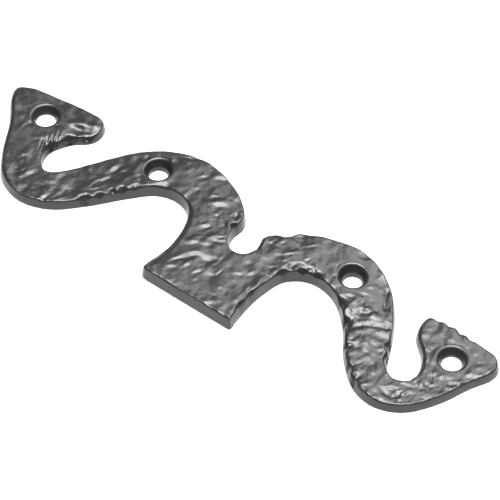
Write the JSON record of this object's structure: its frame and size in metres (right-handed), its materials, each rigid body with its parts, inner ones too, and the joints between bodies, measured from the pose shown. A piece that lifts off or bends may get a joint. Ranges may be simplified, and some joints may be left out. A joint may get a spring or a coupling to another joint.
{
  "type": "hinge front plate",
  "caption": "Flat black cast-iron hinge front: a straight-edged tab with serpentine arms ending in cock's-head terminals, beaten face, countersunk screw holes.",
  "frame": {"origin": "centre of the bounding box on the plane of the flat back", "axes": "+X along the length from terminal to terminal, +Y from the tab's straight edge towards the notch, +Z out of the front face"},
  "size_m": [0.177, 0.0442, 0.0042],
  "materials": {
    "black_paint": "satin black paint over a beaten cast-iron surface"
  },
  "bodies": {
    "root": {"hinge_front_plate": "black_paint"}
  },
  "joints": []
}
